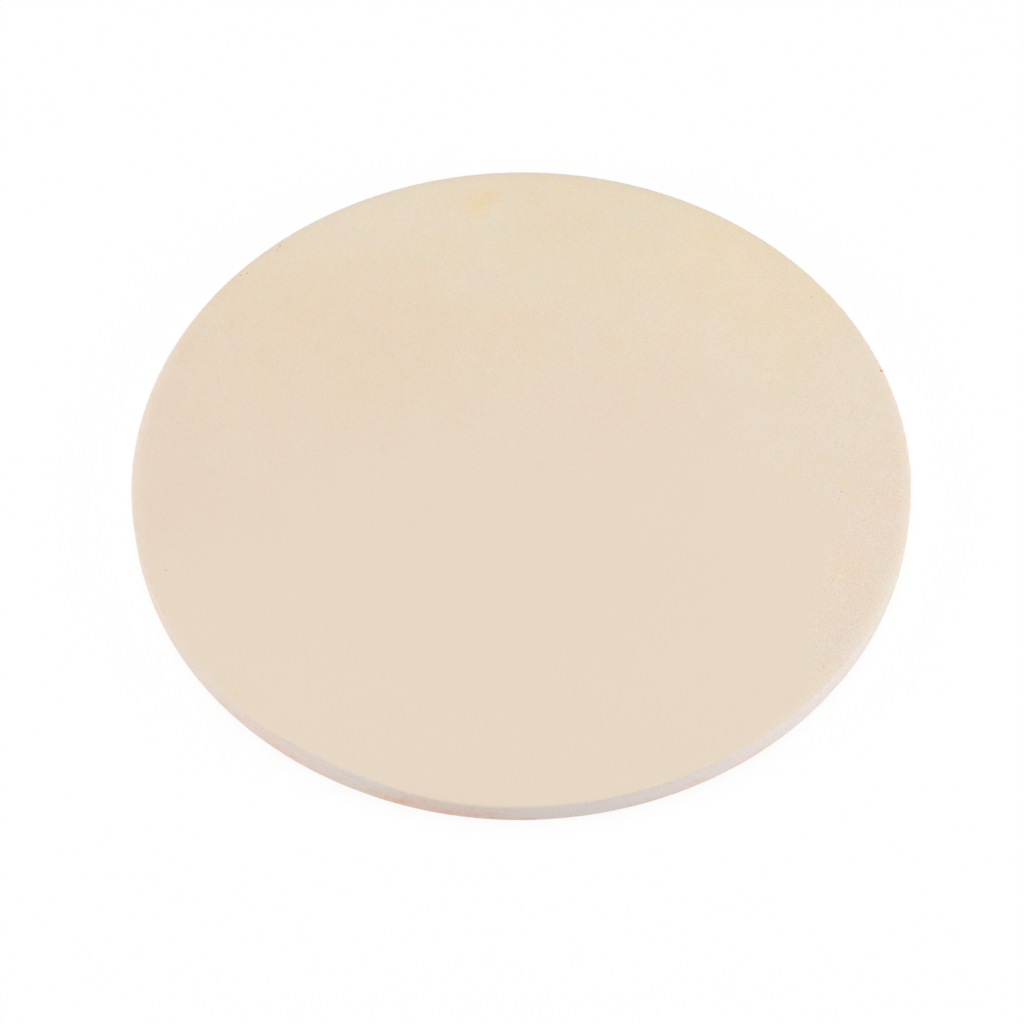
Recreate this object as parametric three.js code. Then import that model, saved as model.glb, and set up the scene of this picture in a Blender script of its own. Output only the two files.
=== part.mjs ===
// Kamado heat deflector: one flat round plate of fired ceramic, pressed and fired in one piece.
// Millimetres, +Z up. The origin is the centre of the underside, which the plate rests on.
import * as THREE from "three";

// Driving dimensions of the plate
const plateDiameter = 380; // across the rim at its widest, just above the underside
const plateThickness = 12; // from the underside to the top face
const footRound = 1.2; // radius from the underside up into the rim
const wallLean = 4; // degrees that the rim leans in on its way up, so that the press lets go of the plate
const shoulderRound = 1.6; // radius of the crease between the rim and the top
const easeRound = 25; // large radius on which the top falls away towards the crease
const easeSlope = 12; // degrees that the top has fallen to where it meets the crease

// How finely the round shapes are cut into flats
const sidesAround = 180;
const footSteps = 4;
const shoulderSteps = 4;
const easeSteps = 4;

// Fired cordierite clay: warm cream, dry and matt
const firedClay = new THREE.MeshStandardMaterial({
  color: 0xe7d8c4,
  roughness: 0.9,
  metalness: 0,
});

// An arc of the cross section, given by its centre, its radius and the angles of its outward normal.
function sectionArc(centre, radius, startAngle, endAngle, steps) {
  const arc = new THREE.EllipseCurve(centre.x, centre.y, radius, radius, startAngle, endAngle);
  return arc.getPoints(steps);
}

// Half of the plate's cross section: out along the underside, up the rim and back in along the top.
// In the section, x is the distance from the plate's axis and y is the height. The rim is a straight
// line between the foot arc and the shoulder arc, and touches both.
function plateSection() {
  const quarterTurn = Math.PI / 2;
  const lean = THREE.MathUtils.degToRad(wallLean);
  const crease = quarterTurn - THREE.MathUtils.degToRad(easeSlope);
  const footCentre = new THREE.Vector2(plateDiameter / 2 - footRound, footRound);
  const creaseDrop = (easeRound - shoulderRound) * (1 - Math.sin(crease));
  const shoulderHeight = plateThickness - shoulderRound - creaseDrop;
  const rise = shoulderHeight - footCentre.y;
  const shoulderInset = rise * Math.tan(lean) + (shoulderRound - footRound) / Math.cos(lean);
  const shoulderCentre = new THREE.Vector2(footCentre.x - shoulderInset, shoulderHeight);
  const creaseNormal = new THREE.Vector2(Math.cos(crease), Math.sin(crease));
  const easeCentre = shoulderCentre.clone().addScaledVector(creaseNormal, shoulderRound - easeRound);
  return [
    new THREE.Vector2(0, 0),
    ...sectionArc(footCentre, footRound, -quarterTurn, lean, footSteps),
    ...sectionArc(shoulderCentre, shoulderRound, lean, crease, shoulderSteps),
    ...sectionArc(easeCentre, easeRound, crease, quarterTurn, easeSteps).slice(1),
    new THREE.Vector2(0, plateThickness),
  ];
}

// The plate is its cross section turned once about the upright axis.
function makeDeflectorPlate() {
  const turned = new THREE.LatheGeometry(plateSection(), sidesAround);
  turned.rotateX(Math.PI / 2); // a lathe turns about Y, and this part stands on Z
  const plate = new THREE.Mesh(turned, firedClay);
  plate.name = "deflector_plate";
  return plate;
}

const heatDeflector = new THREE.Group();
heatDeflector.add(makeDeflectorPlate());

export default heatDeflector;
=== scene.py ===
import math

import bpy
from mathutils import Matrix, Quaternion, Vector


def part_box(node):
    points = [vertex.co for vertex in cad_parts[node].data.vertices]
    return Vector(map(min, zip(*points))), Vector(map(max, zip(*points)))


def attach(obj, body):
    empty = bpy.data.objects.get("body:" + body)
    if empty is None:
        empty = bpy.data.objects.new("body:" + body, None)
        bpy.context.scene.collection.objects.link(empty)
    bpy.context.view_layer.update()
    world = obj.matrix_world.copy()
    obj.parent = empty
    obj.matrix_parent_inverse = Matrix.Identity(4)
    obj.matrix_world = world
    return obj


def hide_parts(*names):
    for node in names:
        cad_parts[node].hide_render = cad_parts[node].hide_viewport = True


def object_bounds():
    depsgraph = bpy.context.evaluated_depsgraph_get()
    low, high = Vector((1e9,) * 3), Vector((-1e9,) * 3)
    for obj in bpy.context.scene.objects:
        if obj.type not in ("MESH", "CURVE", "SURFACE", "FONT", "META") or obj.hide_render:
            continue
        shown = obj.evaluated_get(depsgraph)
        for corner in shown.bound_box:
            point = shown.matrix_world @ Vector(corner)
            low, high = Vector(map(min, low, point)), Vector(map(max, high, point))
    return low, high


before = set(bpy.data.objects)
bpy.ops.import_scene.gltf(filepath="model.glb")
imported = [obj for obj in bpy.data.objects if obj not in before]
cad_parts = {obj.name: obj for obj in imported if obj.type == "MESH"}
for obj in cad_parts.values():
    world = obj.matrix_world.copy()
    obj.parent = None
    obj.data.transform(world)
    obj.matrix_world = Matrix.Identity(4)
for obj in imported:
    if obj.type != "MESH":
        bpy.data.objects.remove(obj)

mm = 0.001
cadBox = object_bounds()
middle = (cadBox[0] + cadBox[1]) / 2
print("frame loaded, plate size in mm:", [round(v / mm, 1) for v in cadBox[1] - cadBox[0]])


# Small helpers

def tone(hexText):  # a screen colour, turned by the sRGB curve into the linear light that shaders use
    shares = [int(hexText[i:i + 2], 16) / 255 for i in (1, 3, 5)]
    linear = [s / 12.92 if s <= 0.04045 else ((s + 0.055) / 1.055) ** 2.4 for s in shares]
    return (*linear, 1.0)


def addObject(name, data):
    made = bpy.data.objects.new(name, data)
    bpy.context.scene.collection.objects.link(made)
    return made


def nodeTools(tree):
    def add(kind, inputs=None, **settings):
        node = tree.nodes.new(kind)
        for name, value in settings.items():
            setattr(node, name, value)
        for key, value in (inputs or {}).items():
            if isinstance(value, bpy.types.NodeSocket):
                tree.links.new(value, node.inputs[key])
            else:
                node.inputs[key].default_value = value
        return node

    def calc(operation, *values):
        return add("ShaderNodeMath", dict(enumerate(values)), operation=operation).outputs[0]

    def vector(operation, *values):
        sockets = (0, "Scale") if operation == "SCALE" else range(len(values))
        node = add("ShaderNodeVectorMath", dict(zip(sockets, values)), operation=operation)
        givesNumber = operation in ("DISTANCE", "DOT_PRODUCT", "LENGTH")
        return node.outputs["Value" if givesNumber else "Vector"]

    def fade(value, low, high, start=0.0, end=1.0, kind="SMOOTHSTEP"):
        ends = {"Value": value, "From Min": low, "From Max": high, "To Min": start, "To Max": end}
        return add("ShaderNodeMapRange", ends, interpolation_type=kind).outputs[0]

    return add, calc, vector, fade


# Camera at the photograph's viewing angle

cameraView = {
    "fieldOfView": 28.0,  # degrees across the square picture
    "elevation": 54.303,  # degrees above the table, as the middle of the plate sees it
    "distance": 1006.4 * mm,
    "aimRight": -4.41 * mm,  # the picture is centred on this point beside the middle of the plate
    "aimBack": -29.46 * mm,
    "roll": -0.899,  # degrees
    "sensor": 36.0,  # width in mm, as Blender counts it
    "clipStart": 50 * mm,
}


def makeCamera():
    view = cameraView
    tilt = math.radians(view["elevation"])
    place = middle + Vector((0, -math.cos(tilt), math.sin(tilt))) * view["distance"]
    aim = middle + Vector((view["aimRight"], view["aimBack"], 0))
    data = bpy.data.cameras.new("photoCamera")
    data.sensor_width = view["sensor"]
    data.lens = view["sensor"] / 2 / math.tan(math.radians(view["fieldOfView"]) / 2)
    data.clip_start = view["clipStart"]
    camera = addObject("photoCamera", data)
    camera.location = place
    camera.rotation_mode = "QUATERNION"
    roll = Quaternion((0, 0, 1), math.radians(view["roll"]))
    camera.rotation_quaternion = (aim - place).to_track_quat("-Z", "Y") @ roll
    bpy.context.scene.camera = camera


# Studio: soft boxes on both sides, in front and overhead, pale room, white floor

studio = {
    # places and sizes in metres
    "boxes": {
        "rightBox": {"place": (1.40, -0.38, 0.36), "size": 0.4, "watts": 8.3},
        "leftBox": {"place": (-1.40, -0.34, 0.41), "size": 0.4, "watts": 7.4},
        "frontBox": {"place": (0.0, -1.30, 1.00), "size": 1.0, "watts": 2.1},
        "overheadBox": {"place": (0.0, 0.50, 1.70), "size": 1.5, "watts": 16.3},
    },
    "roomLight": 0.36,
    "floorSide": 14.0,
    "floorGap": 0.3 * mm,  # the floor lies this far under the plate
    "floorReflects": 0.92,
    "floorGlow": 0.88,  # share of the floor that looks plain white, the rest shows the shadow
    "shadowFull": 0.45,  # metres from the plate within which the floor shows its shadow
    "shadowReach": 0.90,  # from here on the floor is plain white
}


def seenDirectly(add, calc):
    path = add("ShaderNodeLightPath")
    seen = calc("MAXIMUM", path.outputs["Is Camera Ray"], path.outputs["Is Glossy Ray"])
    return calc("MAXIMUM", seen, path.outputs["Is Transmission Ray"])


def makeFloor():
    half = studio["floorSide"] / 2
    level = -studio["floorGap"]
    mesh = bpy.data.meshes.new("studioFloor")
    corners = [(-half, -half, level), (half, -half, level), (half, half, level), (-half, half, level)]
    mesh.from_pydata(corners, [], [(0, 1, 2, 3)])
    floor = addObject("studioFloor", mesh)
    material = bpy.data.materials.new("whiteFloor")
    material.use_nodes = True
    tree = material.node_tree
    tree.nodes.clear()
    add, calc, vector, fade = nodeTools(tree)
    seen = seenDirectly(add, calc)
    reflects = fade(seen, 0, 1, studio["floorReflects"], 1.0, "LINEAR")
    paper = add("ShaderNodeBsdfDiffuse", {"Color": reflects})
    glow = add("ShaderNodeEmission", {"Color": (1, 1, 1, 1), "Strength": 1.0})
    away = vector("LENGTH", add("ShaderNodeTexCoord").outputs["Object"])
    plain = fade(away, studio["shadowFull"], studio["shadowReach"], studio["floorGlow"], 1.0)
    share = calc("MULTIPLY", seen, plain)
    mixed = add("ShaderNodeMixShader", {0: share, 1: paper.outputs[0], 2: glow.outputs[0]})
    add("ShaderNodeOutputMaterial", {"Surface": mixed.outputs[0]})
    mesh.materials.append(material)


def makeRoom():
    world = bpy.data.worlds.new("paleRoom")
    world.use_nodes = True
    tree = world.node_tree
    tree.nodes.clear()
    add, calc, _, fade = nodeTools(tree)
    level = fade(seenDirectly(add, calc), 0, 1, studio["roomLight"], 1.0, "LINEAR")
    room = add("ShaderNodeBackground", {"Color": (1, 1, 1, 1), "Strength": level})
    add("ShaderNodeOutputWorld", {"Surface": room.outputs[0]})
    bpy.context.scene.world = world


def makeStudio():
    for name, box in studio["boxes"].items():
        data = bpy.data.lights.new(name, "AREA")
        data.shape = "SQUARE"
        data.size = box["size"]
        data.energy = box["watts"]
        lamp = addObject(name, data)
        lamp.location = box["place"]
        lamp.rotation_mode = "QUATERNION"
        lamp.rotation_quaternion = (middle - lamp.location).to_track_quat("-Z", "Y")
    makeFloor()
    makeRoom()
    bpy.context.scene.view_settings.view_transform = "Standard"


makeCamera()
makeStudio()
print("camera and studio ready")


# Fired clay: cream faces with soft kiln blushes and fine grit, a greyer sandy rim with orange flashing

firedClay = {
    "face": "#e8d9c5",
    "rim": "#e6dad2",
    "paintedShade": "#ddd3cd",  # painted shade: a darker grey where the rim's grey spills over the crease, on the shoulder that faces up and gets more light
    "edge": "#ebe0d4",  # painted highlight: the pale edge of the top where the side lamps catch its round
    "flash": "#f6a466",
    "iron": "#efb070",
    "ash": "#b89ca4",
    # soft blushes of colour from the kiln: where on the plate and how far out in mm, how strong
    "blushes": {
        "strawBack": {"at": (40, 190), "reach": 200, "tone": "#e7d8be", "share": 0.8},
        "peachLeft": {"at": (-190, 25), "reach": 180, "tone": "#e6d3c0", "share": 0.9},
        "strawRight": {"at": (130, 110), "reach": 85, "tone": "#ebd9be", "share": 0.7},
        "mauveRight": {"at": (185, -55), "reach": 75, "tone": "#e9d5c4", "share": 0.6},
        "mauveFront": {"at": (-20, -10), "reach": 150, "tone": "#e7d6c3", "share": 0.65},
        "mauveMiddle": {"at": (50, 25), "reach": 90, "tone": "#e9d5c2", "share": 0.4},
        "strawMiddle": {"at": (60, 75), "reach": 65, "tone": "#e8d7bf", "share": 0.6},
        "peachMiddle": {"at": (-75, 75), "reach": 95, "tone": "#e8d4bb", "share": 0.75},
        "peachCentre": {"at": (-1, 77), "reach": 32, "tone": "#ead4ba", "share": 0.6},
        "paleRight": {"at": (84, 74), "reach": 42, "tone": "#ebdac8", "share": 0.5},
        "strawLeft": {"at": (-149, 45), "reach": 34, "tone": "#e9d5bc", "share": 0.5},
        "strawBackRight": {"at": (105, 134), "reach": 45, "tone": "#ecdabb", "share": 0.35},
        "strawFarBack": {"at": (29, 170), "reach": 42, "tone": "#e7d5b6", "share": 0.35},
        "strawBackLeft": {"at": (-130, 102), "reach": 62, "tone": "#e7d5b6", "share": 0.4},
        "peachEdge": {"at": (153, -64), "reach": 16, "tone": "#efd5b9", "share": 0.45},
        "paleEdge": {"at": (166, -52), "reach": 24, "tone": "#e8d9ca", "share": 0.55},
        "mauveEdge": {"at": (151, -110), "reach": 27, "tone": "#e7d5ca", "share": 0.6},
        "scorchLeft": {"at": (-24.5, 169), "reach": 10, "tone": "#f0d4aa", "share": 0.4},
        "scorchLow": {"at": (-22.5, 162), "reach": 11, "tone": "#f0d3aa", "share": 0.45},
        "scorchRight": {"at": (-14.8, 171), "reach": 7, "tone": "#f0cfa4", "share": 0.5},
    },
    "blushWander": 0.15,  # how far a blush's edge strays, as a share of its reach
    "blushWaves": 3.0,  # fineness of that straying, to a reach
    "blushSeed": 5.5,
    "blushCore": 0.15,  # share of its reach within which a blush is full
    # single specks on the top: where and how far out in mm, how strong
    "specks": {
        "chip": {"at": (181.2, 50.5), "size": 1.15, "tone": "#ff8a28", "share": 0.95},
        "rustLeft": {"at": (-144.7, 117.2), "size": 0.7, "tone": "#f09050", "share": 0.8},
        "rustLeftInner": {"at": (-141.5, 118.5), "size": 0.6, "tone": "#e09060", "share": 0.8},
        "rustBack": {"at": (-125.4, 137.0), "size": 1.0, "tone": "#dc9460", "share": 0.7},
        "rustBackTail": {"at": (-126.7, 134.4), "size": 1.1, "tone": "#e4ac7c", "share": 0.5},
        "orangeLeft": {"at": (-167.2, -65.0), "size": 0.7, "tone": "#eca070", "share": 0.65},
        "orangeFront": {"at": (-129.2, -132.5), "size": 0.85, "tone": "#f0b88c", "share": 0.4},
        "orangeRight": {"at": (154.1, -23.4), "size": 0.65, "tone": "#eca068", "share": 0.75},
        "orangeRightLow": {"at": (152.5, -27.7), "size": 0.75, "tone": "#f2b878", "share": 0.65},
        "orangeBackRight": {"at": (150.3, 98.9), "size": 0.75, "tone": "#eca874", "share": 0.8},
        "orangeBack": {"at": (-19.4, 166.1), "size": 0.65, "tone": "#f29c54", "share": 0.85},
        "ashFrontRight": {"at": (136.7, -120.1), "size": 0.5, "tone": "#908c92", "share": 0.65},
        "ashMiddle": {"at": (-67.8, 5.0), "size": 1.7, "tone": "#decdc0", "share": 0.45},
    },
    "speckWander": 0.25 * mm,  # how far a speck's edge strays
    "speckWaves": 900.0,  # fineness of that straying, to the metre
    "speckSeed": 7.7,
    "speckCore": 0.4,  # share of its size within which a speck is full
    "speckLevel": (0.6, 0.9),  # shares of the thickness between which the single specks come in
    # orange flashing on the rim: azimuth in degrees, height, half length and half height in mm, strength
    "flashes": {
        "rightFoot": {"azimuth": -34, "height": 1.6, "reach": 27, "rise": 2.4, "share": 0.32},
        "rightFrontFoot": {"azimuth": -57, "height": 0.9, "reach": 16, "rise": 2.0, "share": 0.45},
        "rightFront": {"azimuth": -66.5, "height": 4.8, "reach": 5.5, "rise": 1.8, "share": 0.42},
        "rightFrontWash": {"azimuth": -70, "height": 4.0, "reach": 24, "rise": 6.0, "share": 0.1},
        "frontFoot": {"azimuth": -89.9, "height": 1.0, "reach": 10, "rise": 1.8, "share": 0.8},
        "frontWash": {"azimuth": -102, "height": 4.5, "reach": 46, "rise": 12.0, "share": 0.28},
        "frontLow": {"azimuth": -94, "height": 2.0, "reach": 5, "rise": 2.0, "share": 0.45},
        "frontHigh": {"azimuth": -94.3, "height": 6.2, "reach": 5, "rise": 1.8, "share": 0.35},
        "frontMiddle": {"azimuth": -96.8, "height": 4.0, "reach": 6, "rise": 2.6, "share": 0.3},
        "frontLeft": {"azimuth": -100.4, "height": 3.8, "reach": 8, "rise": 2.4, "share": 0.3},
        "strongest": {"azimuth": -106.6, "height": 3.9, "reach": 11, "rise": 2.8, "share": 0.45},
        "leftUpper": {"azimuth": -110, "height": 5.9, "reach": 6, "rise": 1.8, "share": 0.35},
        "leftWash": {"azimuth": -126, "height": 4.0, "reach": 58, "rise": 14.0, "share": 0.15},
        "leftSpot": {"azimuth": -122.8, "height": 3.9, "reach": 5, "rise": 2.0, "share": 0.3},
        "left": {"azimuth": -126, "height": 4.4, "reach": 6, "rise": 2.2, "share": 0.42},
        "farLeft": {"azimuth": -132.4, "height": 4.6, "reach": 6, "rise": 2.0, "share": 0.25},
        "farthestLeft": {"azimuth": -135.9, "height": 4.0, "reach": 5, "rise": 2.0, "share": 0.2},
        "leftFoot": {"azimuth": -155, "height": 1.0, "reach": 34, "rise": 4.0, "share": 0.25},
    },
    "flashWander": 0.3,  # how far a flash's edge strays, as a share of its size
    "flashWaves": 110.0,  # fineness of that straying, to the metre
    "flashSeed": 2.7,
    "flashCore": 0.1,  # share of its size within which a flash is full
    "flashGrains": (420.0, 5.0, 0.75, 6.2),  # what breaks it up: fineness, detail, roughness, seed
    "flashTurn": (0.36, 0.64),  # levels of those grains between which faint turns to strong
    "flashFaint": 0.25,
    "flashStrong": 1.15,
    # stretches of the rim with a tone of their own, in degrees
    "rimTints": {
        "right": {"azimuth": -25, "full": 8, "reach": 26, "tone": "#e2d7cb", "share": 0.9},
        "rightFront": {"azimuth": -62, "full": 16, "reach": 40, "tone": "#e9ded8", "share": 0.9},
        "left": {"azimuth": -160, "full": 10, "reach": 30, "tone": "#e5d4c6", "share": 0.9},
    },
    # where the grey of the rim spills over the crease, or stops short of it: degrees and mm
    "spills": {
        "rightFront": {"azimuth": -56, "full": 0, "reach": 28, "by": 0.6},
        "frontWide": {"azimuth": -93, "full": 0, "reach": 11, "by": -0.85},
        "frontNotch": {"azimuth": -98, "full": 0, "reach": 6, "by": -1.0},
        "leftFront": {"azimuth": -117, "full": 4, "reach": 14, "by": 1.4},
        "leftDip": {"azimuth": -135, "full": 0, "reach": 11, "by": -0.55},
        "left": {"azimuth": -160, "full": 4, "reach": 19, "by": 1.1},
    },
    "paintedShadeStretch": {"azimuth": -103, "full": 30, "reach": 50},  # the stretch of the rim where the grey over the crease is darkened as painted shade
    "paintedShadeDepth": 2.0 * mm,  # how far below the crease the painted shade ends
    "rimStarts": 0.25 * mm,  # how far below the crease the greyer rim begins and is full
    "rimFull": 0.75 * mm,
    "underReach": 12.0 * mm,  # how far the grey reaches in under the plate, and to where it is full
    "underFull": 5.0 * mm,
    # painted highlight: where the edge of the top is painted pale as if lit from the side, in degrees
    "paintedHighlightEdges": {
        "right": {"azimuth": -14, "full": 10, "reach": 45, "share": 0.58},
        "left": {"azimuth": 172, "full": 5, "reach": 35, "share": 0.5},
    },
    # mottling and grit: fineness, detail, roughness, seed, and how far red, green and blue swing
    "mottling": {
        "clouds": (38.0, 5.0, 0.68, 1.3, (0.00, 0.02, 0.20)),
        "bloom": (60.0, 5.0, 0.6, 4.1, (0.02, 0.06, 0.03)),
        "rouge": (55.0, 5.0, 0.75, 2.2, (0.08, -0.045, 0.0)),
        "flecks": (200.0, 3.0, 0.75, 5.2, (0.0, 0.055, 0.18)),
    },
    "grit": {
        "sand": (1750.0, 1.5, 0.6, 3.9, (0.08, 0.30, 0.58)),
        "straw": (1350.0, 1.5, 0.6, 6.4, (0.11, 0.165, -0.12)),
        "brick": (1500.0, 1.5, 0.6, 8.6, (0.09, -0.068, 0.022)),
    },
    "pitting": 2.0,  # how much deeper the grit's dark dips are than its pale tops
    "pittingLevel": 0.0108,  # keeps the mean tone as it is
    "rimGrit": 1.45,  # grit on the rim against grit on the faces
    # parts of the top with more or less mottling and grit: where in mm, how much wider than deep, how much
    "texture": {
        "smoothFront": {"at": (0, -150), "stretch": 1.8, "full": 84, "reach": 212, "share": 0.08},
        "sandyBackRight": {"at": (190, 30), "stretch": 1.0, "full": 40, "reach": 85, "share": 1.18},
        "sandyRight": {"at": (351, -139), "stretch": 1.0, "full": 218, "reach": 225, "share": 1.4},
    },
    "ironFineness": 330.0,  # cells to the metre, many of which hold a faint iron speck, and some one of ash
    "ironSize": 0.15,  # in cells
    "ironCore": 0.05,
    "ironChance": 0.3,  # a cell whose draw is lower holds none
    "ironShare": 0.7,
    "ashShare": 0.15,
    # dry surface: the relief's fineness, detail, roughness and seed, and the levels of its dips and tops
    "relief": (700.0, 3.0, 0.6, 9.1),
    "reliefLevels": (0.3, 0.7),
    "dryness": (0.82, 0.96),  # how rough the dips and the tops are
    "bumpStrength": 0.3,
    "bumpHeight": 0.25 * mm,
    "shine": 0.3,
    # noise in general: how a seed shifts it, its middle, and detail, roughness and swing of ragged edges
    "seedSteps": (1.0, 1.7, 2.3),
    "noiseMiddle": 0.5,
    "edgeDetail": 4.0,
    "edgeRoughness": 0.6,
    "edgeSwing": 0.25,
}


def makeFiredClay(radius, crease):
    look = firedClay
    top = cadBox[1].z
    material = bpy.data.materials.new("firedClay")
    material.use_nodes = True
    tree = material.node_tree
    tree.nodes.clear()
    add, calc, vector, fade = nodeTools(tree)
    place = add("ShaderNodeTexCoord").outputs["Object"]
    at = add("ShaderNodeSeparateXYZ", {0: place}).outputs
    rimDistance = add("ShaderNodeAttribute", attribute_name="rimDistance").outputs["Fac"]

    def noise(scale, detail, rough, seed):
        shifted = vector("ADD", place, tuple(seed * step for step in look["seedSteps"]))
        inputs = {"Vector": shifted, "Scale": scale, "Detail": detail, "Roughness": rough}
        return add("ShaderNodeTexNoise", inputs)

    def strayed(where, scale, seed, amount):  # a place pushed about by noise, to give patches ragged edges
        cloud = noise(scale, look["edgeDetail"], look["edgeRoughness"], seed).outputs["Color"]
        push = vector("SUBTRACT", cloud, (look["noiseMiddle"],) * 3)
        return vector("ADD", where, vector("SCALE", push, amount / look["edgeSwing"]))

    def blend(share, under, over):  # the numbers are the colour sockets of a Mix node
        return add("ShaderNodeMix", {0: share, 6: under, 7: over}, data_type="RGBA").outputs[2]

    def swings(kinds, pitting=0.0):  # every kind of noise adds its own swing of red, green and blue
        total = (0.0, 0.0, 0.0)
        for scale, detail, rough, seed, swing in kinds.values():
            level = noise(scale, detail, rough, seed).outputs[0]
            offCentre = calc("SUBTRACT", level, look["noiseMiddle"])
            dip = calc("SUBTRACT", calc("MULTIPLY", offCentre, offCentre), look["pittingLevel"])
            pitted = calc("MULTIPLY_ADD", dip, -pitting, offCentre)
            total = vector("ADD", vector("SCALE", swing, pitted), total)
        return total

    fromAxis = vector("MULTIPLY", place, (1.0, 1.0, 0.0))
    outwards = vector("NORMALIZE", fromAxis)

    def turnedFrom(degrees):  # angle round the plate between a place and an azimuth
        turn = math.radians(degrees)
        return calc("ARCCOSINE", vector("DOT_PRODUCT", outwards, (math.cos(turn), math.sin(turn), 0.0)))

    def stretch(part, amount):  # a stretch of the plate's edge: full near its azimuth, gone at its reach
        ends = math.radians(part["reach"]), math.radians(part["full"])
        return fade(turnedFrom(part["azimuth"]), *ends, 0.0, amount)

    # kiln blushes
    colour = tone(look["face"])
    for blush in look["blushes"].values():
        centre = (blush["at"][0] * mm, blush["at"][1] * mm, top)
        reach = blush["reach"] * mm
        waves = look["blushWaves"] / reach
        blushPlace = strayed(place, waves, look["blushSeed"], look["blushWander"] * reach)
        away = vector("DISTANCE", blushPlace, centre)
        share = fade(away, reach, look["blushCore"] * reach, 0.0, blush["share"])
        colour = blend(share, colour, tone(blush["tone"]))

    # painted highlight: the edge of the top is painted pale on the right and left, where the side lamps
    # light its round
    onEdge = fade(rimDistance, 0.0, crease, kind="LINEAR")
    for wearAndHighlight in look["paintedHighlightEdges"].values():
        share = calc("MULTIPLY", stretch(wearAndHighlight, wearAndHighlight["share"]), onEdge)
        colour = blend(share, colour, tone(look["edge"]))

    # the rim is drier and greyer
    past = rimDistance
    for spill in look["spills"].values():
        past = calc("ADD", past, stretch(spill, spill["by"] * mm))
    nearRim = fade(vector("LENGTH", fromAxis), radius - look["underReach"], radius - look["underFull"])
    rimShare = fade(past, crease + look["rimStarts"], crease + look["rimFull"])
    rimShare = calc("MULTIPLY", rimShare, nearRim)
    # painted shade: over the crease the grey is darkened, to take back the light that falls on the
    # upward-facing shoulder
    paintedShadeShare = fade(rimDistance, crease + look["paintedShadeDepth"], crease)
    paintedShadeShare = calc("MULTIPLY", stretch(look["paintedShadeStretch"], 1.0), paintedShadeShare)
    grey = tone(look["rim"])
    for tint in look["rimTints"].values():
        grey = blend(stretch(tint, tint["share"]), grey, tone(tint["tone"]))
    grey = blend(paintedShadeShare, grey, tone(look["paintedShade"]))
    colour = blend(rimShare, colour, grey)

    # orange flashing, laid out flat: along the rim and up it
    azimuth = calc("ARCTAN2", at["Y"], at["X"])
    flat = add("ShaderNodeCombineXYZ", {0: calc("MULTIPLY", azimuth, radius), 1: at["Z"]}).outputs[0]
    ragged = strayed((0.0, 0.0, 0.0), look["flashWaves"], look["flashSeed"], look["flashWander"])
    ragged = vector("MULTIPLY", ragged, (1.0, 1.0, 0.0))
    grains = noise(*look["flashGrains"]).outputs[0]
    broken = fade(grains, *look["flashTurn"], look["flashFaint"], look["flashStrong"])
    broken = calc("MULTIPLY", rimShare, broken)
    for flash in look["flashes"].values():
        centre = (math.radians(flash["azimuth"]) * radius, flash["height"] * mm, 0.0)
        shrink = (1 / (flash["reach"] * mm), 1 / (flash["rise"] * mm), 1.0)
        offset = vector("MULTIPLY", vector("SUBTRACT", flat, centre), shrink)
        away = vector("LENGTH", vector("ADD", offset, ragged))
        share = fade(away, 1.0, look["flashCore"], 0.0, flash["share"])
        colour = blend(calc("MULTIPLY", share, broken), colour, tone(look["flash"]))

    # mottling and grit by place: coarse on the rim, faint where the top is smooth
    faceTexture = 1.0
    for part in look["texture"].values():
        centre = (part["at"][0] * mm, part["at"][1] * mm, top)
        offset = vector("SUBTRACT", place, centre)
        away = vector("LENGTH", vector("MULTIPLY", offset, (1 / part["stretch"], 1.0, 1.0)))
        ends = part["full"] * mm, part["reach"] * mm
        faceTexture = fade(away, *ends, part["share"], faceTexture, "LINEAR")
    grit = fade(rimShare, 0.0, 1.0, faceTexture, look["rimGrit"], "LINEAR")
    mottled = vector("SCALE", swings(look["mottling"]), calc("MINIMUM", faceTexture, 1.0))
    gritty = vector("SCALE", swings(look["grit"], look["pitting"]), grit)
    swung = vector("ADD", vector("ADD", mottled, gritty), (1.0, 1.0, 1.0))
    colour = vector("MULTIPLY", colour, swung)

    # faint iron specks all over, then the single specks on the top
    cells = add("ShaderNodeTexVoronoi", {"Vector": place, "Scale": look["ironFineness"]}).outputs
    chance = add("ShaderNodeSeparateColor", {0: cells["Color"]}).outputs
    strength = fade(chance["Red"], look["ironChance"], 1.0, 0.0, look["ironShare"], "LINEAR")
    share = calc("MULTIPLY", strength, fade(cells["Distance"], look["ironSize"], look["ironCore"]))
    isAsh = calc("LESS_THAN", chance["Green"], look["ashShare"])
    kind = blend(isAsh, tone(look["iron"]), tone(look["ash"]))
    colour = blend(calc("MULTIPLY", share, faceTexture), colour, kind)
    onTop = fade(at["Z"], *[level * top for level in look["speckLevel"]])
    speckPlace = strayed(place, look["speckWaves"], look["speckSeed"], look["speckWander"])
    speckPlace = vector("MULTIPLY", speckPlace, (1.0, 1.0, 0.0))
    for speck in look["specks"].values():
        centre = (speck["at"][0] * mm, speck["at"][1] * mm, 0.0)
        size = speck["size"] * mm
        away = vector("DISTANCE", speckPlace, centre)
        share = fade(away, size, look["speckCore"] * size, 0.0, speck["share"])
        colour = blend(calc("MULTIPLY", share, onTop), colour, tone(speck["tone"]))

    # dry surface: rough all over, with a fine relief
    relief = noise(*look["relief"]).outputs[0]
    bump = add("ShaderNodeBump", {
        "Height": relief, "Strength": look["bumpStrength"], "Distance": look["bumpHeight"],
    })
    shader = add("ShaderNodeBsdfPrincipled", {
        "Base Color": colour,
        "Roughness": fade(relief, *look["reliefLevels"], *look["dryness"]),
        "Normal": bump.outputs[0],
        "Specular IOR Level": look["shine"],
    })
    add("ShaderNodeOutputMaterial", {"Surface": shader.outputs[0]})
    return material


# The plate: a grid box wrapped round the plate's section, so that it is closed and all in squares

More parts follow.
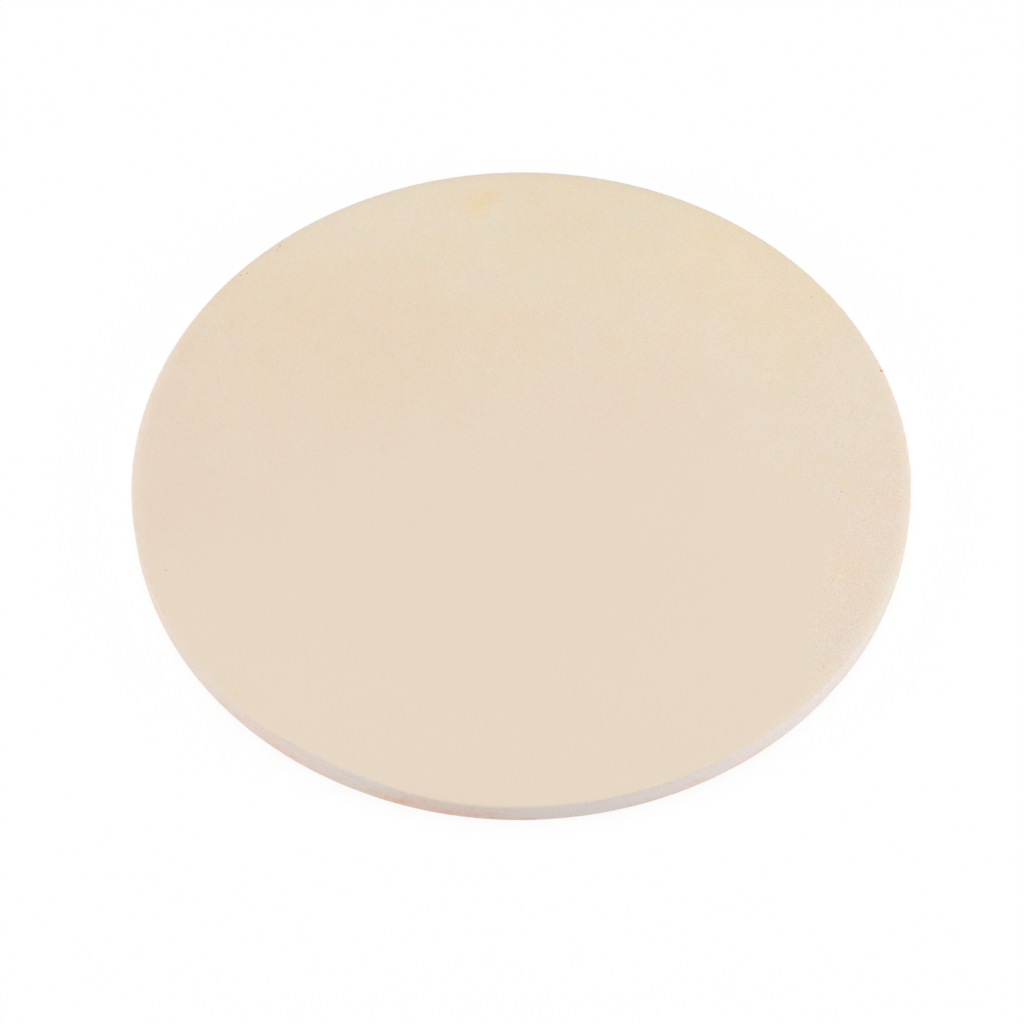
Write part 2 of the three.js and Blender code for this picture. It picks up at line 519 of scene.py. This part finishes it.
plate = {
    "name": "ceramic_plate",
    "cadNode": "deflector_plate",
    "body": "root",
    "slot": "fired_clay",
    "footRound": 1.2 * mm,  # from the underside into the rim
    "wallLean": math.radians(4.0),  # the rim leans in on its way up
    "shoulderRound": 1.6 * mm,  # the crease between the rim and the top
    "easeRound": 25.0 * mm,  # the large round on which the top falls away to the crease
    "easeSlope": math.radians(12.0),  # how steep the top is where it meets the crease
    "faceSquares": 180,  # along one side of a face's grid, which gives four times as many round the rim
    "rimRows": 30,
    "footRows": (0.0, 0.2),  # how the parts of the section share out those rows, from the underside up
    "wallRows": (0.2, 0.5),
    "shoulderRows": (0.5, 0.8),
    "easeRows": (0.8, 1.0),
    "edgeWander": 0.3 * mm,  # the most that the rim strays from a true circle
    "wanderStarts": 0.7,  # share of the radius from which it strays
    "rimRelief": 0.1 * mm,
    "reliefEnds": 1.5 * mm,  # the relief dies out over this last stretch before the underside
    "faceDish": 0.1 * mm,
    # the noise behind each of these: fineness, detail, and its shift of the seed
    "wanderNoise": (9.0, 2.0, 0.0),
    "reliefNoise": (230.0, 3.0, 3.0),
    "dishNoise": (7.0, 1.0, 6.0),
    "seed": 7.0,
    # discs on the flat map for baking, one for top and rim and one for the underside: centre and radius
    "bigDisc": (0.405, 0.4),
    "smallDisc": (0.82, 0.17),
}


def makePlateTree():
    tree = bpy.data.node_groups.new("wrappedPlate", "GeometryNodeTree")
    wanted = {
        "Radius": "Float", "Thickness": "Float", "Foot Round": "Float", "Wall Lean": "Float",
        "Shoulder Round": "Float", "Ease Round": "Float", "Ease Slope": "Float",
        "Face Squares": "Int", "Rim Rows": "Int", "Edge Wander": "Float", "Rim Relief": "Float",
        "Face Dish": "Float", "Seed": "Float", "Finish": "Material",
    }
    ids = {}
    for name, kind in wanted.items():
        socket = tree.interface.new_socket(name=name, in_out="INPUT", socket_type="NodeSocket" + kind)
        ids[name] = socket.identifier
    tree.interface.new_socket(name="Plate", in_out="OUTPUT", socket_type="NodeSocketGeometry")
    add, calc, vector, fade = nodeTools(tree)
    given = add("NodeGroupInput").outputs
    radius = given["Radius"]

    # grid box, two units on a side
    across = calc("ADD", given["Face Squares"], 1)
    box = add("GeometryNodeMeshCube", {
        "Size": (2, 2, 2), "Vertices X": across, "Vertices Y": across,
        "Vertices Z": calc("ADD", given["Rim Rows"], 1),
    })
    at = add("ShaderNodeSeparateXYZ", {0: add("GeometryNodeInputPosition").outputs[0]}).outputs

    # the square faces become discs
    def onDisc(along, other):
        squared = calc("MULTIPLY", other, other)
        return calc("MULTIPLY", along, calc("SQRT", calc("SUBTRACT", 1.0, calc("DIVIDE", squared, 2.0))))

    discX = onDisc(at["X"], at["Y"])
    discY = onDisc(at["Y"], at["X"])

    # the box's height becomes a run up the section: foot, wall, shoulder and ease share out its rows
    quarter = math.pi / 2
    up = calc("MULTIPLY_ADD", at["Z"], 0.5, 0.5)  # 0 at the underside, 1 at the top
    lean = given["Wall Lean"]
    crease = calc("SUBTRACT", quarter, given["Ease Slope"])
    arcs = (
        {"bend": given["Foot Round"], "start": -quarter, "end": lean, "rows": plate["footRows"]},
        {"bend": given["Shoulder Round"], "start": lean, "end": crease, "rows": plate["shoulderRows"]},
        {"bend": given["Ease Round"], "start": crease, "end": quarter, "rows": plate["easeRows"]},
    )

    def carried(bend, start, angle):  # how far an arc goes outwards, upwards and along itself
        out = calc("SUBTRACT", calc("COSINE", angle), calc("COSINE", start))
        rise = calc("SUBTRACT", calc("SINE", angle), calc("SINE", start))
        return [calc("MULTIPLY", bend, part) for part in (out, rise, calc("SUBTRACT", angle, start))]

    def summed(parts):
        total = parts[0]
        for part in parts[1:]:
            total = calc("ADD", total, part)
        return total

    def alongWall(length):
        return [
            calc("MULTIPLY", calc("MULTIPLY", length, calc("SINE", lean)), -1.0),
            calc("MULTIPLY", length, calc("COSINE", lean)),
            length,
        ]

    wholeArcs = [carried(arc["bend"], arc["start"], arc["end"]) for arc in arcs]
    arcHeight = summed([arc[1] for arc in wholeArcs])
    wallRun = calc("DIVIDE", calc("SUBTRACT", given["Thickness"], arcHeight), calc("COSINE", lean))
    wholeOut, _, wholeRun = [summed(parts) for parts in zip(*wholeArcs, alongWall(wallRun))]
    gone = []
    for arc in arcs:
        angle = fade(up, *arc["rows"], arc["start"], arc["end"], "LINEAR")
        gone.append(carried(arc["bend"], arc["start"], angle))
    goneWall = alongWall(fade(up, *plate["wallRows"], 0.0, wallRun, "LINEAR"))
    out, height, run = [summed(parts) for parts in zip(*gone, goneWall)]
    footReach = calc("SUBTRACT", radius, given["Foot Round"])
    reach = calc("ADD", footReach, out)
    rimDistance = calc("SUBTRACT", wholeRun, run)  # 0 on the flat top, growing outwards and down the rim

    # flat map for baking: top and rim as one large disc, the underside as a small one
    nearlyZero = 1e-6
    bigCentre, bigRadius = plate["bigDisc"]
    smallCentre, smallRadius = plate["smallDisc"]
    flatReach = calc("ADD", footReach, wholeOut)
    outward = calc("SQRT", calc("ADD", calc("MULTIPLY", discX, discX), calc("MULTIPLY", discY, discY)))
    unrolled = calc("ADD", calc("MULTIPLY", outward, flatReach), rimDistance)
    bigScale = calc("DIVIDE", bigRadius, calc("ADD", flatReach, wholeRun))
    bigRun = calc("DIVIDE", calc("MULTIPLY", unrolled, bigScale), calc("MAXIMUM", outward, nearlyZero))
    onBig = add("ShaderNodeCombineXYZ", {
        0: calc("MULTIPLY_ADD", discX, bigRun, bigCentre),
        1: calc("MULTIPLY_ADD", discY, bigRun, bigCentre),
    })
    onSmall = add("ShaderNodeCombineXYZ", {
        0: calc("MULTIPLY_ADD", discX, -smallRadius, smallCentre),
        1: calc("MULTIPLY_ADD", discY, smallRadius, smallCentre),
    })
    faceUp = add("GeometryNodeFieldOnDomain", {0: up}, data_type="FLOAT", domain="FACE").outputs[0]
    isUnder = add("FunctionNodeCompare", {
        0: faceUp, 1: nearlyZero,
    }, data_type="FLOAT", operation="LESS_THAN")
    spot = add("GeometryNodeSwitch", {
        "Switch": isUnder.outputs[0], "False": onBig.outputs[0], "True": onSmall.outputs[0],
    }, input_type="VECTOR").outputs[0]
    mapped = add("GeometryNodeStoreNamedAttribute", {
        "Geometry": box.outputs["Mesh"], "Name": "OFBake", "Value": spot,
    }, data_type="FLOAT2", domain="CORNER")
    marked = add("GeometryNodeStoreNamedAttribute", {
        "Geometry": mapped.outputs[0], "Name": "rimDistance", "Value": rimDistance,
    }, data_type="FLOAT", domain="POINT")
    wrapped = add("GeometryNodeSetPosition", {
        "Geometry": marked.outputs[0],
        "Position": add("ShaderNodeCombineXYZ", {
            0: calc("MULTIPLY", discX, reach), 1: calc("MULTIPLY", discY, reach), 2: height,
        }).outputs[0],
    })

    # unevenness of a pressed and fired slab: the rim wanders and is sandy, the top is not quite flat
    here = add("GeometryNodeInputPosition").outputs[0]
    fromTop = add("GeometryNodeInputNamedAttribute", {"Name": "rimDistance"}, data_type="FLOAT").outputs[0]

    def swing(size, noise, where):  # noise from -1 to 1, times its size, in one part of the plate
        scale, detail, shift = plate[noise]
        inputs = {"Vector": here, "W": calc("ADD", given["Seed"], shift), "Scale": scale, "Detail": detail}
        node = add("ShaderNodeTexNoise", inputs, noise_dimensions="4D")
        level = calc("MULTIPLY_ADD", node.outputs[0], 2.0, -1.0)
        return calc("MULTIPLY", calc("MULTIPLY", level, given[size]), where)

    easeRun = wholeArcs[-1][-1]  # the last arc's length along itself
    aboveFoot = fade(fromTop, wholeRun, calc("SUBTRACT", wholeRun, plate["reliefEnds"]))
    onRim = calc("MULTIPLY", fade(fromTop, 0.0, easeRun), aboveFoot)
    onTop = fade(fromTop, easeRun, 0.0)
    flatHere = vector("MULTIPLY", here, (1.0, 1.0, 0.0))
    outwards = vector("NORMALIZE", flatHere)
    nearRim = fade(vector("LENGTH", flatHere), calc("MULTIPLY", radius, plate["wanderStarts"]), radius)
    wander = vector("SCALE", outwards, swing("Edge Wander", "wanderNoise", nearRim))
    normal = add("GeometryNodeInputNormal").outputs[0]
    relief = vector("SCALE", normal, swing("Rim Relief", "reliefNoise", onRim))
    dish = vector("SCALE", (0.0, 0.0, 1.0), swing("Face Dish", "dishNoise", onTop))
    moved = vector("ADD", vector("ADD", wander, relief), dish)
    wearAndHighlight = add("GeometryNodeSetPosition", {"Geometry": wrapped.outputs[0], "Offset": moved})
    smooth = add("GeometryNodeSetShadeSmooth", {"Geometry": wearAndHighlight.outputs[0], "Shade Smooth": True})
    real = add("GeometryNodeRealizeInstances", {0: smooth.outputs[0]})
    done = add("GeometryNodeSetMaterial", {"Geometry": real.outputs[0], "Material": given["Finish"]})
    add("NodeGroupOutput", {0: done.outputs[0]})
    return tree, ids


def makePlate():
    low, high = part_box(plate["cadNode"])
    radius = (high.x - low.x) / 2
    tree, ids = makePlateTree()
    piece = addObject(plate["name"], bpy.data.meshes.new(plate["name"]))
    maker = piece.modifiers.new("wrappedPlate", "NODES")
    maker.node_group = tree
    values = {
        "Radius": radius, "Thickness": high.z - low.z,
        "Foot Round": plate["footRound"], "Wall Lean": plate["wallLean"],
        "Shoulder Round": plate["shoulderRound"],
        "Ease Round": plate["easeRound"], "Ease Slope": plate["easeSlope"],
        "Face Squares": plate["faceSquares"], "Rim Rows": plate["rimRows"],
        "Edge Wander": plate["edgeWander"], "Rim Relief": plate["rimRelief"],
        "Face Dish": plate["faceDish"], "Seed": plate["seed"],
        "Finish": makeFiredClay(radius, plate["easeRound"] * plate["easeSlope"]),
    }
    for name, value in values.items():
        maker[ids[name]] = value
    view = bpy.context.evaluated_depsgraph_get()
    mesh = bpy.data.meshes.new_from_object(
        piece.evaluated_get(view), preserve_all_data_layers=True, depsgraph=view,
    )
    piece.modifiers.clear()
    mesh.name = plate["name"]
    piece.data = mesh
    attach(piece, plate["body"])
    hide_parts(plate["cadNode"])
    print("plate made:", len(mesh.polygons), "faces,", len(mesh.vertices), "points")


makePlate()
